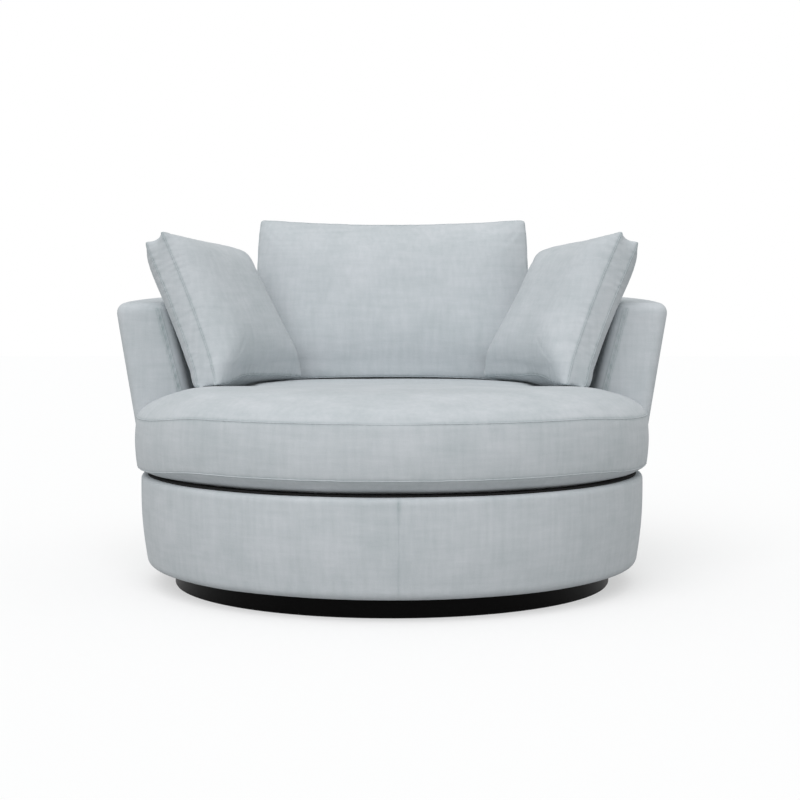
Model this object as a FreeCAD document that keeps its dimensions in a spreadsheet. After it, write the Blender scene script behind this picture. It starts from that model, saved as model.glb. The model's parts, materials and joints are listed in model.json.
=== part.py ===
# Round swivel cuddle chair: a padded drum and tub on a black plinth, with loose cushions.
# Millimetres, Z up. The origin is on the floor, on the swivel axis. The chair faces -Y.

import FreeCAD, Part
import math
import os
import Sketcher
from FreeCAD import Placement, Rotation, Vector

doc = FreeCAD.newDocument("cuddle_chair")

# Driving dimensions. Every one is a real length in millimetres, a count or an angle in degrees.
sizes = {
    "plinth_radius": 513,
    "plinth_height": 40,
    "plinth_wall": 24,
    "plinth_board_thickness": 15,
    "felt_thickness": 3,
    "felt_inset": 2,
    "block_count": 8,
    "block_depth": 30,
    "block_width": 60,
    "block_height": 18,
    "swivel_gap": 9,
    "plate_rim": 20,
    "plate_bore_radius": 62,
    "plate_thickness": 1.5,
    "race_radius": 130,
    "race_half_width": 8,
    "ball_radius": 2.5,
    "ball_clearance": 0.05,
    "ball_count": 24,
    "cage_thickness": 0.7,
    "cage_half_width": 5,
    "cage_clearance": 0.15,
    "pivot_radius": 6,
    "pivot_head_radius": 11,
    "pivot_head_height": 7,
    "pivot_nut_radius": 12,
    "pivot_nut_height": 10,
    "pivot_clearance": 0.5,
    "plate_screw_count": 8,
    "plate_screw_circle": 95,
    "plate_screw_radius": 2,
    "plate_screw_head_radius": 4.5,
    "plate_screw_head_height": 1.2,
    "plate_screw_length": 12,
    "bottom_board_thickness": 18,
    "drum_pad_depth": 30,
    "lining_thickness": 3,
    "upright_count": 12,
    "upright_depth": 35,
    "upright_width": 50,
    "rail_ring_thickness": 18,
    "rail_ring_width": 40,
    "spring_rail_height": 38,
    "spring_rail_depth": 30,
    "spring_rail_length": 660,
    "spring_rail_offset": 410,
    "spring_count": 8,
    "spring_spacing": 75,
    "spring_wire_radius": 1.9,
    "spring_end_inset": 5,
    "spring_run_length": 18,
    "spring_turns": 30,
    "clip_length": 12,
    "clip_width": 14,
    "clip_height": 5,
    "deck_pad_gap": 0.3,
    "cloth_thickness": 2,
    "drum_bottom_radius": 575,
    "drum_top_radius": 590,
    "drum_bottom_round": 18,
    "drum_top_round": 10,
    "deck_height": 258,
    "deck_edge": 15,
    "tub_overhang": 3,
    "tub_wall_width": 163,
    "tub_outer_lean": 8.9,
    "tub_inner_lean": 14.3,
    "tub_front_height": 654,
    "tub_blank_share": 1.2,
    "tub_rise": 3.5,
    "tub_round": 24,
    "arm_front": 30,
    "tub_padding": 18,
    "top_rail_thickness": 18,
    "post_width": 45,
    "back_post_count": 5,
    "tub_bolt_radius": 4,
    "tub_bolt_head_radius": 8,
    "tub_bolt_head_height": 5,
    "tub_bolt_length": 45,
    "soft_gap": 0.5,
    "rest_gap": 0.3,
    "settle_rounds": 2,
    "settle_steps": 30,
    "settle_limit": 0.1,
    "filling_gap": 0.3,
    "dome_share": 0.6,
    "dome_steps": 4,
    "seat_overhang": 10,
    "seat_side_gap": 4,
    "seat_lower_seam": 32,
    "seat_bottom_inset": 46,
    "seat_border": 116,
    "seat_border_bulge": 5,
    "seat_crown": 54,
    "seat_crown_run": 150,
    "seat_crown_steps": 5,
    "seat_belly_share": 0.2,
    "seat_corner_round": 30,
    "seat_least_round": 7.5,
    "seat_zip_length": 500,
    "zip_width": 12,
    "back_width": 680,
    "back_height": 412,
    "back_border": 110,
    "back_crown": 42,
    "back_sag": 14,
    "back_lean": 15,
    "back_offset": 300,
    "back_zip_length": 520,
    "pillow_side": 370,
    "pillow_border": 50,
    "pillow_crown": 54,
    "pillow_sag": 13,
    "pillow_turn": 65,
    "pillow_lean": 27,
    "pillow_out": 392,
    "pillow_back": 42,
    "pillow_zip_length": 320,
}
sheet = doc.addObject("Spreadsheet::Sheet", "Sizes")
for row, (name, amount) in enumerate(sizes.items(), start=1):
    sheet.set(f"A{row}", name)
    sheet.set(f"B{row}", str(amount))
    sheet.setAlias(f"B{row}", name)
doc.recompute()


def size(name):
    return float(getattr(sheet, name))


# Levels and radii that follow from the driving dimensions.
levels = doc.addObject("App::VarSet", "Levels")


def derive(name, expression):
    levels.addProperty("App::PropertyFloat", name)
    levels.setExpression(name, expression)
    doc.recompute()
    return float(getattr(levels, name))


plinth_board_bottom = derive("plinth_board_bottom", "Sizes.plinth_height - Sizes.plinth_board_thickness")
block_bottom = derive("block_bottom", "Levels.plinth_board_bottom - Sizes.block_height")
plinth_bore = derive("plinth_bore", "Sizes.plinth_radius - Sizes.plinth_wall")
lower_plate_top = derive("lower_plate_top", "Sizes.plinth_height + Sizes.plate_thickness")
board_bottom = derive("board_bottom", "Sizes.plinth_height + Sizes.swivel_gap")
upper_plate_bottom = derive("upper_plate_bottom", "Levels.board_bottom - Sizes.plate_thickness")
ball_height = derive("ball_height", "(Levels.lower_plate_top + Levels.upper_plate_bottom) / 2")
race_bore = derive("race_bore", "Sizes.ball_radius + Sizes.ball_clearance")
race_gap = derive("race_gap", "Sizes.cage_thickness / 2 + Sizes.cage_clearance")
board_top = derive("board_top", "Levels.board_bottom + Sizes.bottom_board_thickness")
ring_top = derive("ring_top", "Sizes.deck_height - Sizes.cloth_thickness")
ring_bottom = derive("ring_bottom", "Levels.ring_top - Sizes.rail_ring_thickness")
frame_radius = derive("frame_radius", "Sizes.drum_bottom_radius - Sizes.drum_pad_depth")
plate_radius = derive("plate_radius", "Sizes.race_radius + Sizes.plate_rim")
ring_bore = derive("ring_bore", "Levels.frame_radius - Sizes.rail_ring_width")
bolt_circle = derive("bolt_circle", "Levels.frame_radius - Sizes.rail_ring_width / 2")
rail_bottom = derive("rail_bottom", "Levels.ring_bottom - Sizes.spring_rail_height")
deck_top = derive("deck_top", "Sizes.deck_height + Sizes.cloth_thickness")
doc.recompute()

subparts = {}


def keep(piece, name):
    piece.Label = name
    subparts[name] = piece
    return piece


# Parametric pieces: turned bodies, primitives set out on circles, and cuts.


def turned(name, outline):
    """A body turned about Z from a closed outline of (radius, height) expressions."""
    body = doc.addObject("PartDesign::Body", name)
    sketch = body.newObject("Sketcher::SketchObject", name + "_outline")
    plane = [item for item in body.Origin.OriginFeatures if item.Role == "XZ_Plane"][0]
    sketch.AttachmentSupport = [(plane, "")]
    sketch.MapMode = "FlatFace"
    helper = doc.addObject("App::VarSet", name + "_corners")
    corners = []
    for number, (radius, height) in enumerate(outline):
        for letter, expression in (("r", radius), ("z", height)):
            helper.addProperty("App::PropertyFloat", f"{letter}{number}")
            helper.setExpression(f"{letter}{number}", expression)
    doc.recompute()
    for number in range(len(outline)):
        corners.append(Vector(getattr(helper, f"r{number}"), getattr(helper, f"z{number}"), 0))
    for number, corner in enumerate(corners):
        sketch.addGeometry(Part.LineSegment(corner, corners[(number + 1) % len(corners)]), False)
    for number, corner in enumerate(corners):
        after = (number + 1) % len(corners)
        sketch.addConstraint(Sketcher.Constraint("Coincident", number, 2, after, 1))
        across = sketch.addConstraint(Sketcher.Constraint("DistanceX", -1, 1, number, 1, corner.x))
        sketch.setExpression(f"Constraints[{across}]", outline[number][0])
        upward = sketch.addConstraint(Sketcher.Constraint("DistanceY", -1, 1, number, 1, corner.y))
        sketch.setExpression(f"Constraints[{upward}]", outline[number][1])
    turn = body.newObject("PartDesign::Revolution", name + "_turn")
    turn.Profile = sketch
    turn.ReferenceAxis = (sketch, ["V_Axis"])
    turn.Angle = 360
    sketch.Visibility = False
    doc.recompute()
    return body


def ring(name, inner, outer, bottom, top):
    return turned(name, [(inner, bottom), (outer, bottom), (outer, top), (inner, top)])


def cylinder(name, radius, height, across, along, bottom):
    piece = doc.addObject("Part::Cylinder", name)
    piece.setExpression("Radius", radius)
    piece.setExpression("Height", height)
    piece.setExpression("Placement.Base.x", across)
    piece.setExpression("Placement.Base.y", along)
    piece.setExpression("Placement.Base.z", bottom)
    return piece


def around(circle, count, number, start=0.0):
    """Expressions of the x and y of one of a number of places on a circle."""
    angle = f"({start} + 360 * {number} / {count}) * 1 deg"
    return f"({circle}) * cos({angle})", f"({circle}) * sin({angle})"


def group(name, pieces):
    holder = doc.addObject("Part::Compound", name)
    holder.Links = pieces
    doc.recompute()
    return holder


def cylinders_around(name, radius, height, bottom, circle, count, start=0.0):
    pieces = []
    for number in range(count):
        across, along = around(circle, count, number, start)
        pieces.append(cylinder(f"{name}_{number}", radius, height, across, along, bottom))
    return group(name, pieces)


def block(name, depth, width, height, circle, angle, bottom):
    """A box with its outer face square to a radius: circle is the radius at its middle."""
    piece = doc.addObject("Part::Box", name)
    piece.setExpression("Length", depth)
    piece.setExpression("Width", width)
    piece.setExpression("Height", height)
    piece.Placement = Placement(Vector(), Rotation(Vector(0, 0, 1), angle))
    turn = f"({angle}) * 1 deg"
    inner = f"(({circle}) - ({depth}) / 2)"
    piece.setExpression("Placement.Base.x", f"{inner} * cos({turn}) + ({width}) / 2 * sin({turn})")
    piece.setExpression("Placement.Base.y", f"{inner} * sin({turn}) - ({width}) / 2 * cos({turn})")
    piece.setExpression("Placement.Base.z", bottom)
    return piece


def less(name, base, tools):
    """A piece with holes: base with every tool cut away."""
    cut = doc.addObject("Part::Cut", name)
    cut.Base = base
    cut.Tool = tools[0] if len(tools) == 1 else fused(name + "_holes", tools)
    doc.recompute()
    return cut


def fused(name, pieces):
    joined = doc.addObject("Part::MultiFuse", name)
    joined.Shapes = pieces
    doc.recompute()
    return joined


def shaped(name, shape):
    piece = doc.addObject("Part::Feature", name)
    piece.Shape = shape
    return keep(piece, name)


# Plinth: a bent ring on a strip of felt, with a board let into its top.
keep(ring("plinth_felt_ring", "Levels.plinth_bore + Sizes.felt_inset",
          "Sizes.plinth_radius - Sizes.felt_inset", "0", "Sizes.felt_thickness"), "plinth_felt_ring")
keep(ring("plinth_rim", "Levels.plinth_bore", "Sizes.plinth_radius", "Sizes.felt_thickness",
          "Sizes.plinth_height"), "plinth_rim")

block_count = int(size("block_count"))
blocks = []
for number in range(block_count):
    angle = 360.0 * (number + 0.5) / block_count
    circle = "(sqrt(Levels.plinth_bore ^ 2 - (Sizes.block_width / 2) ^ 2) - Sizes.block_depth / 2)"
    blocks.append(block(f"plinth_block_{number}", "Sizes.block_depth", "Sizes.block_width",
                        "Sizes.block_height", circle, angle, "Levels.block_bottom"))
keep(group("plinth_blocks", blocks), "plinth_blocks")

# Swivel: two race plates with balls between them, held by a bolt through the middle.
screw_count = int(size("plate_screw_count"))
screw_circle = "Sizes.plate_screw_circle"


def plate_screws(name, plate_face, points_up):
    """Screws through a race plate into its board, heads in the space between the plates."""
    screws = []
    long = "(Sizes.plate_thickness + Sizes.plate_screw_length)"
    for number in range(screw_count):
        across, along = around(screw_circle, screw_count, number)
        head_bottom = f"{plate_face} - Sizes.plate_screw_head_height" if points_up else plate_face
        shank_bottom = plate_face if points_up else f"{plate_face} - {long}"
        head = cylinder(f"{name}_head_{number}", "Sizes.plate_screw_head_radius",
                        "Sizes.plate_screw_head_height", across, along, head_bottom)
        shank = cylinder(f"{name}_shank_{number}", "Sizes.plate_screw_radius", long, across, along,
                         shank_bottom)
        screws.append(fused(f"{name}_{number}", [head, shank]))
    keep(group(name, screws), name)
    return cylinders_around(name + "_bores", "Sizes.plate_screw_radius", long, shank_bottom,
                            screw_circle, screw_count)


lower_bores = plate_screws("lower_plate_screws", "Levels.lower_plate_top", False)
upper_bores = plate_screws("upper_plate_screws", "Levels.upper_plate_bottom", True)

pivot_low = "(Levels.plinth_board_bottom - Sizes.pivot_head_height)"
pivot_high = "(Levels.board_top + Sizes.pivot_clearance + Sizes.pivot_nut_height)"
keep(turned("pivot_bolt", [
    ("0", pivot_low), ("Sizes.pivot_head_radius", pivot_low),
    ("Sizes.pivot_head_radius", "Levels.plinth_board_bottom"),
    ("Sizes.pivot_radius", "Levels.plinth_board_bottom"), ("Sizes.pivot_radius", pivot_high),
    ("0", pivot_high)]), "pivot_bolt")
keep(ring("pivot_nut", "Sizes.pivot_radius", "Sizes.pivot_nut_radius",
          "Levels.board_top + Sizes.pivot_clearance", pivot_high), "pivot_nut")

plinth_disc = ring("plinth_disc", "Sizes.pivot_radius", "Levels.plinth_bore",
                   "Levels.plinth_board_bottom", "Sizes.plinth_height")
keep(less("plinth_board", plinth_disc, [lower_bores]), "plinth_board")

race_inner = "(Sizes.race_radius - Sizes.race_half_width)"
race_outer = "(Sizes.race_radius + Sizes.race_half_width)"


def race_plate(name, flat, face, lip, bores):
    """A pressed plate whose raised bead holds half of the ball track."""
    blank = turned(name + "_blank", [
        ("Sizes.plate_bore_radius", flat), ("Levels.plate_radius", flat),
        ("Levels.plate_radius", face), (race_outer, face), (race_outer, lip), (race_inner, lip),
        (race_inner, face), ("Sizes.plate_bore_radius", face)])
    track = doc.addObject("Part::Torus", name + "_track")
    track.setExpression("Radius1", "Sizes.race_radius")
    track.setExpression("Radius2", "Levels.race_bore")
    track.setExpression("Placement.Base.z", "Levels.ball_height")
    keep(less(name, blank, [track, bores]), name)


race_plate("swivel_lower_plate", "Sizes.plinth_height", "Levels.lower_plate_top",
           "Levels.ball_height - Levels.race_gap", lower_bores)
race_plate("swivel_upper_plate", "Levels.board_bottom", "Levels.upper_plate_bottom",
           "Levels.ball_height + Levels.race_gap", upper_bores)

ball_count = int(size("ball_count"))
balls = []
for number in range(ball_count):
    across, along = around("Sizes.race_radius", ball_count, number)
    ball = doc.addObject("Part::Sphere", f"ball_{number}")
    ball.setExpression("Radius", "Sizes.ball_radius")
    ball.setExpression("Placement.Base.x", across)
    ball.setExpression("Placement.Base.y", along)
    ball.setExpression("Placement.Base.z", "Levels.ball_height")
    balls.append(ball)
keep(group("bearing_balls", balls), "bearing_balls")
cage_low = "Levels.ball_height - Sizes.cage_thickness / 2"
cage_ring = ring("cage_ring", "Sizes.race_radius - Sizes.cage_half_width",
                 "Sizes.race_radius + Sizes.cage_half_width", cage_low,
                 "Levels.ball_height + Sizes.cage_thickness / 2")
cage_holes = cylinders_around("cage_holes", "Sizes.ball_radius + 2 * Sizes.ball_clearance",
                              "Sizes.cage_thickness", cage_low, "Sizes.race_radius", ball_count)
keep(less("ball_cage", cage_ring, [cage_holes]), "ball_cage")

# Drum frame: bottom board, uprights, a ring for the seat, and a thin board bent round them.
board_disc = ring("board_disc", "Sizes.pivot_radius + Sizes.pivot_clearance", "Levels.frame_radius",
                  "Levels.board_bottom", "Levels.board_top")
keep(less("drum_bottom_board", board_disc, [upper_bores]), "drum_bottom_board")

upright_count = int(size("upright_count"))
upright_circle = ("(sqrt(Levels.frame_radius ^ 2 - (Sizes.upright_width / 2) ^ 2)"
                  " - Sizes.upright_depth / 2 - Sizes.deck_pad_gap)")
uprights = []
for number in range(upright_count):
    angle = 360.0 * (number + 0.5) / upright_count
    uprights.append(block(f"upright_{number}", "Sizes.upright_depth", "Sizes.upright_width",
                          "Levels.ring_bottom - Levels.board_top", upright_circle, angle,
                          "Levels.board_top"))
keep(group("drum_uprights", uprights), "drum_uprights")
keep(ring("drum_lining_board", "Levels.frame_radius", "Levels.frame_radius + Sizes.lining_thickness",
          "Levels.board_bottom", "Levels.ring_top"), "drum_lining_board")

# Seven bolts hold the tub's posts down on the seat ring.
back_post_count = int(size("back_post_count"))
post_angles = [180.0 * (number + 1) / (back_post_count + 1) for number in range(back_post_count)]
arm_post_angle = math.degrees(math.asin((size("post_width") / 2 - size("arm_front")
                                         + size("cloth_thickness") + size("tub_padding"))
                                        / bolt_circle))
bolt_angles = [arm_post_angle, *post_angles, 180.0 - arm_post_angle]
bolt_bottom = "(Levels.ring_bottom - Sizes.tub_bolt_head_height)"
bolts = []
bolt_shanks = []
for number, angle in enumerate(bolt_angles):
    across = f"Levels.bolt_circle * cos({angle} * 1 deg)"
    along = f"Levels.bolt_circle * sin({angle} * 1 deg)"
    long = "(Levels.deck_top - Levels.ring_bottom + Sizes.tub_bolt_length)"
    head = cylinder(f"tub_bolt_head_{number}", "Sizes.tub_bolt_head_radius",
                    "Sizes.tub_bolt_head_height", across, along, bolt_bottom)
    shank = cylinder(f"tub_bolt_shank_{number}", "Sizes.tub_bolt_radius", long, across, along,
                     "Levels.ring_bottom")
    bolts.append(fused(f"tub_bolt_{number}", [head, shank]))
    bolt_shanks.append(cylinder(f"tub_bolt_bore_{number}", "Sizes.tub_bolt_radius", long, across,
                                along, "Levels.ring_bottom"))
keep(group("tub_bolts", bolts), "tub_bolts")
bolt_bores = group("tub_bolt_bores", bolt_shanks)

ring_blank = ring("ring_blank", "Levels.ring_bore", "Levels.frame_radius", "Levels.ring_bottom",
                  "Levels.ring_top")
keep(less("seat_rail_ring", ring_blank, [bolt_bores]), "seat_rail_ring")

rails = []
for side in (-1, 1):
    rail = doc.addObject("Part::Box", "front_spring_rail" if side < 0 else "rear_spring_rail")
    rail.setExpression("Length", "Sizes.spring_rail_length")
    rail.setExpression("Width", "Sizes.spring_rail_depth")
    rail.setExpression("Height", "Sizes.spring_rail_height")
    rail.setExpression("Placement.Base.x", "-Sizes.spring_rail_length / 2")
    rail.setExpression("Placement.Base.y",
                       f"{side} * Sizes.spring_rail_offset - Sizes.spring_rail_depth / 2")
    rail.setExpression("Placement.Base.z", "Levels.rail_bottom")
    rails.append(rail)
keep(group("spring_rails", rails), "spring_rails")

# Serpentine springs: each one wire of straight runs across the chair, joined by half turns.
wire = size("spring_wire_radius")
half_run = size("spring_run_length") / 2
turns = int(size("spring_turns"))
bend = (size("spring_rail_offset") - size("spring_end_inset")) / turns
first_run = -turns * bend


def spring_wire(centre, height):
    edges = []
    for run in range(turns + 1):
        side = 1 if run % 2 == 0 else -1
        along = first_run + 2 * bend * run
        start = Vector(centre - side * half_run, along, height)
        end = Vector(centre + side * half_run, along, height)
        edges.append(Part.LineSegment(start, end).toShape())
        if run < turns:
            beyond = end + Vector(side * bend, bend, 0)
            edges.append(Part.Arc(end, beyond, end + Vector(0, 2 * bend, 0)).toShape())
    path = Part.Wire(edges)
    section = Part.Wire(Part.makeCircle(wire, edges[0].Vertexes[0].Point, Vector(1, 0, 0)))
    return path.makePipeShell([section], True, False)


spring_count = int(size("spring_count"))
springs = []
clips = []
clip_size = Vector(size("clip_length"), size("clip_width"), size("clip_height"))
wire_height = size("deck_height") - size("cloth_thickness") - size("rail_ring_thickness") + wire
for number in range(spring_count):
    centre = (number - (spring_count - 1) / 2) * size("spring_spacing")
    springs.append(spring_wire(centre, wire_height))
    last_side = 1 if turns % 2 == 0 else -1
    for along, side in ((first_run, -1), (-first_run, last_side)):
        near = centre + side * half_run
        corner = Vector(min(near, near + side * clip_size.x), along - clip_size.y / 2,
                        wire_height - wire)
        clips.append(Part.makeBox(clip_size.x, clip_size.y, clip_size.z, corner))
shaped("seat_springs", Part.makeCompound(springs))
shaped("spring_clips", Part.makeCompound(clips))

keep(ring("deck_pad", "0", "Levels.ring_bore - Sizes.deck_pad_gap",
          "Levels.ring_bottom + Sizes.clip_height + Sizes.deck_pad_gap", "Sizes.deck_height"),
     "deck_pad")
deck_disc = ring("deck_disc", "0", "Sizes.drum_top_radius - Sizes.deck_edge", "Sizes.deck_height",
                 "Levels.deck_top")
keep(less("seat_deck", deck_disc, [bolt_bores]), "seat_deck")


# Drum upholstery, turned about Z: padding and a cloth cover that wraps under the board and over
# the seat ring.
cloth = size("cloth_thickness")
deck_height = size("deck_height")
axis = Vector(0, 0, 1)
centre_point = Vector()


def side_view(radius, height):
    """A point of a turned outline. Outlines are drawn on the front side of the chair."""
    return Vector(0, -radius, height)


def line(start, end):
    return Part.LineSegment(start, end).toShape()


def arc(start, middle, end):
    return Part.Arc(start, middle, end).toShape()


def turned_solid(edges):
    solid = Part.Face(Part.Wire(edges)).revolve(centre_point, axis, 360)
    if solid.Volume < 0:
        solid.reverse()
    return solid


def polygon(corners):
    return [line(corner, corners[(place + 1) % len(corners)]) for place, corner in enumerate(corners)]


def drum_side(inset, bottom, inner_low, inner_high):
    """The drum's side from its underside up to its top, drawn in by inset."""
    low_round = size("drum_bottom_round") - inset
    high_round = size("drum_top_round") - inset
    low = size("drum_bottom_radius") - inset
    high = size("drum_top_radius") - inset
    top = deck_height - inset
    corner = 1 - math.sqrt(0.5)
    return [
        side_view(inner_low, bottom),
        side_view(low - low_round, bottom),
        side_view(low - low_round * corner, bottom + low_round * corner),
        side_view(low, bottom + low_round),
        side_view(high, top - high_round),
        side_view(high - high_round * corner, top - high_round * corner),
        side_view(high - high_round, top),
        side_view(inner_high, top),
    ]


def drum_side_edges(points):
    return [line(points[0], points[1]), arc(points[1], points[2], points[3]),
            line(points[3], points[4]), arc(points[4], points[5], points[6]),
            line(points[6], points[7])]


lining_outside = frame_radius + size("lining_thickness")
under_edge = frame_radius - size("upright_depth")
outside = drum_side(0, board_bottom - cloth, under_edge, ring_bore)
inside = drum_side(cloth, board_bottom, under_edge, ring_bore)
inside.reverse()
inside_edges = [line(inside[0], inside[1]), arc(inside[1], inside[2], inside[3]),
                line(inside[3], inside[4]), arc(inside[4], inside[5], inside[6]),
                line(inside[6], inside[7])]
drum_skin = turned_solid([*drum_side_edges(outside), line(outside[-1], inside[0]), *inside_edges,
                          line(inside[-1], outside[0])])
shaped("drum_cover", drum_skin.cut(bolt_bores.Shape))
pad = drum_side(cloth, board_bottom, lining_outside, lining_outside)
shaped("drum_padding", turned_solid([*drum_side_edges(pad), line(pad[-1], pad[0])]))


# Tub: the arms and back are one leaning shell, open at the front, with a top that rises to the
# rear. Its layers are the same shell drawn in by the thickness of what lies outside them.
tub_base = deck_top
outer_slope = math.tan(math.radians(size("tub_outer_lean")))
inner_slope = math.tan(math.radians(size("tub_inner_lean")))
tub_outer = size("drum_top_radius") + size("tub_overhang")
tub_inner = tub_outer - size("tub_wall_width")
reach = 2 * tub_outer
arm_front = size("arm_front")
climb = size("tub_blank_share") * (size("tub_front_height") - tub_base)
ceiling = tub_base + climb


def outside_of(radius, slope):
    """All that lies outside a leaning surface of the given radius at the tub's base."""
    return turned_solid(polygon([
        side_view(radius, tub_base), side_view(reach, tub_base),
        side_view(reach, ceiling), side_view(radius + slope * climb, ceiling)]))


def tub_wall(inset, top_inset):
    """The tub's shell with its sides and front drawn in by inset, without rounding."""
    inner = tub_inner + inset
    outer = tub_outer - inset
    wall = turned_solid(polygon([
        side_view(inner, tub_base), side_view(outer, tub_base),
        side_view(outer + outer_slope * climb, ceiling),
        side_view(inner + inner_slope * climb, ceiling)]))
    front = Part.makeBox(2 * reach, reach, 2 * ceiling,
                         Vector(-reach, -reach - arm_front + inset, 0))
    above = Part.makeBox(2 * reach, 2 * reach, reach, Vector(-reach, 0, 0))
    above.rotate(centre_point, Vector(1, 0, 0), size("tub_rise"))
    drop = top_inset / math.cos(math.radians(size("tub_rise")))
    above.translate(Vector(0, -arm_front, size("tub_front_height") - drop))
    return wall.cut(front).cut(above)


def rounded_tub(inset):
    """The padded form of the tub: its top and front edges rounded, drawn in by inset."""
    wall = tub_wall(inset, inset)
    soft = [edge for edge in wall.Edges if edge.BoundBox.ZMax > tub_base + size("soft_gap")]
    return wall.makeFillet(size("tub_round") - inset, soft)


tub_outside = rounded_tub(0)
tub_inside = rounded_tub(cloth)
tub_skin = tub_outside.cut(tub_inside).cut(bolt_bores.Shape)

# The cloth is sewn from four panels: outside, inside and one on the front of each arm.
front_slab = Part.makeBox(2 * reach, cloth, ceiling + reach, Vector(-reach, -arm_front, 0))
left_half = Part.makeBox(reach, 2 * reach, ceiling + reach, Vector(-reach, -reach, 0))
outer_half = outside_of((tub_inner + tub_outer) / 2, (inner_slope + outer_slope) / 2)
around_skin = tub_skin.cut(front_slab)
front_skin = tub_skin.common(front_slab)
shaped("tub_outer_cover", around_skin.common(outer_half))
shaped("tub_inner_cover", around_skin.cut(outer_half))
shaped("arm_front_cover_left", front_skin.common(left_half))
shaped("arm_front_cover_right", front_skin.cut(left_half))

# Under the padding the frame is two thin boards bent round posts, with a rail along the top.
to_lining = cloth + size("tub_padding")
to_frame = to_lining + size("lining_thickness")
hollow = tub_wall(to_lining, to_lining)
shaped("tub_padding", tub_inside.cut(hollow).cut(bolt_bores.Shape))
beyond_frame = outside_of(tub_outer - to_frame, outer_slope)
within_frame = outside_of(tub_inner + to_frame, inner_slope)
shaped("tub_outer_lining", hollow.common(beyond_frame))
shaped("tub_inner_lining", hollow.cut(within_frame))
cavity = hollow.common(within_frame).cut(beyond_frame)
under_rail = tub_wall(to_lining, to_lining + size("top_rail_thickness"))
shaped("tub_top_rail", cavity.cut(under_rail))
post_space = cavity.common(under_rail).cut(bolt_bores.Shape)
post_width = size("post_width")
arm_slab = Part.makeBox(2 * reach, post_width, ceiling,
                        Vector(-reach, to_lining - arm_front, 0))
arm_posts = post_space.common(arm_slab)
shaped("arm_posts", Part.makeCompound(arm_posts.Solids))
back_posts = []
for angle in post_angles:
    slab = Part.makeBox(reach, post_width, ceiling, Vector(0, -post_width / 2, 0))
    slab.rotate(centre_point, axis, angle)
    back_posts.extend(post_space.common(slab).Solids)
shaped("back_posts", Part.makeCompound(back_posts))


# Cushions: each is a filled cloth case with a zip let into its border.


def crown_steps(crown, run_in, count):
    """Heights and insets of a domed panel above its seam, as a quarter of an ellipse."""
    angles = [math.radians(90 * step / count) for step in range(1, count + 1)]
    return [(crown * math.sin(angle), run_in * (1 - math.cos(angle))) for angle in angles]


def case_parts(form, zip_box):
    """The cover, zip and filling of a cushion whose form is given by a function of its inset."""
    case = form(0).cut(form(cloth))
    filling = form(cloth + size("filling_gap"))
    return case.cut(zip_box), case.common(zip_box), filling


def keep_cushion(name, parts, placement):
    for label, shape in zip(("cover", "zip", "filling"), parts):
        piece = shaped(f"{name}_{label}", shape)
        piece.Placement = placement


# The seat cushion is T-shaped: a half round front that passes before the arms, and a rounded
# tail between them.
seat_bottom = deck_top + size("rest_gap")
seat_height = size("seat_lower_seam") + size("seat_border") + size("seat_crown")


def seat_outline(run, inset, height):
    """The outline at one height. It bulges only where nothing stands beside it."""
    front = size("drum_top_radius") + size("seat_overhang") - run - inset
    beside = max(run, 0) + inset
    tail = tub_inner - size("seat_side_gap") - beside
    step = -arm_front - size("soft_gap") - beside
    corner = max(size("seat_corner_round") - beside, size("seat_least_round"))
    corner_along = step - corner
    corner_across = math.sqrt((front - corner) ** 2 - corner_along ** 2)
    spread = math.hypot(corner_across, corner_along)
    outward = Vector(corner_across / spread, corner_along / spread, 0)
    middle = (outward + Vector(0, 1, 0)).normalize()
    centre = Vector(corner_across, corner_along, 0)
    meet = centre + outward * corner
    bulge = centre + middle * corner
    straight = Vector(corner_across, step, 0)
    tail_start = Vector(math.sqrt(tail ** 2 - step ** 2), step, 0)
    side = Vector(tail, 0, 0) * math.sqrt(0.5) + Vector(0, tail, 0) * math.sqrt(0.5)
    lift = Vector(0, 0, height)

    def right(point):
        return point + lift

    def left(point):
        return Vector(-point.x, point.y, height)

    nose = Vector(0, -front, height)
    slope = (outward + Vector(0, -1, 0)).normalize() * front
    end = Vector(0, tail, height)
    return Part.Wire([
        line(right(tail_start), right(straight)),
        arc(right(straight), right(bulge), right(meet)),
        arc(right(meet), right(slope), nose),
        arc(nose, left(slope), left(meet)),
        arc(left(meet), left(bulge), left(straight)),
        line(left(straight), left(tail_start)),
        arc(left(tail_start), left(side), end),
        arc(end, right(side), right(tail_start)),
    ])


def seat_form(inset):
    lower = size("seat_lower_seam")
    upper = lower + size("seat_border")
    belly = lower * size("seat_belly_share")
    levels_and_insets = [(0, size("seat_bottom_inset")), (belly, size("seat_bottom_inset") / 2),
                         (lower, 0), ((lower + upper) / 2, -size("seat_border_bulge")), (upper, 0)]
    crown = crown_steps(size("seat_crown"), size("seat_crown_run"), int(size("seat_crown_steps")))
    levels_and_insets += [(upper + rise, run) for rise, run in crown]
    squeeze = (seat_height - 2 * inset) / seat_height
    wires = [seat_outline(run, inset, seat_bottom + inset + rise * squeeze)
             for rise, run in levels_and_insets]
    return Part.makeLoft(wires, True, True)


zip_width = size("zip_width")
seat_zip_height = seat_bottom + size("seat_lower_seam") + size("seat_border") / 2
seat_zip_box = Part.makeBox(size("seat_zip_length"), reach, zip_width,
                            Vector(-size("seat_zip_length") / 2, 0, seat_zip_height - zip_width / 2))
keep_cushion("seat", case_parts(seat_form, seat_zip_box), Placement())


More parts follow.
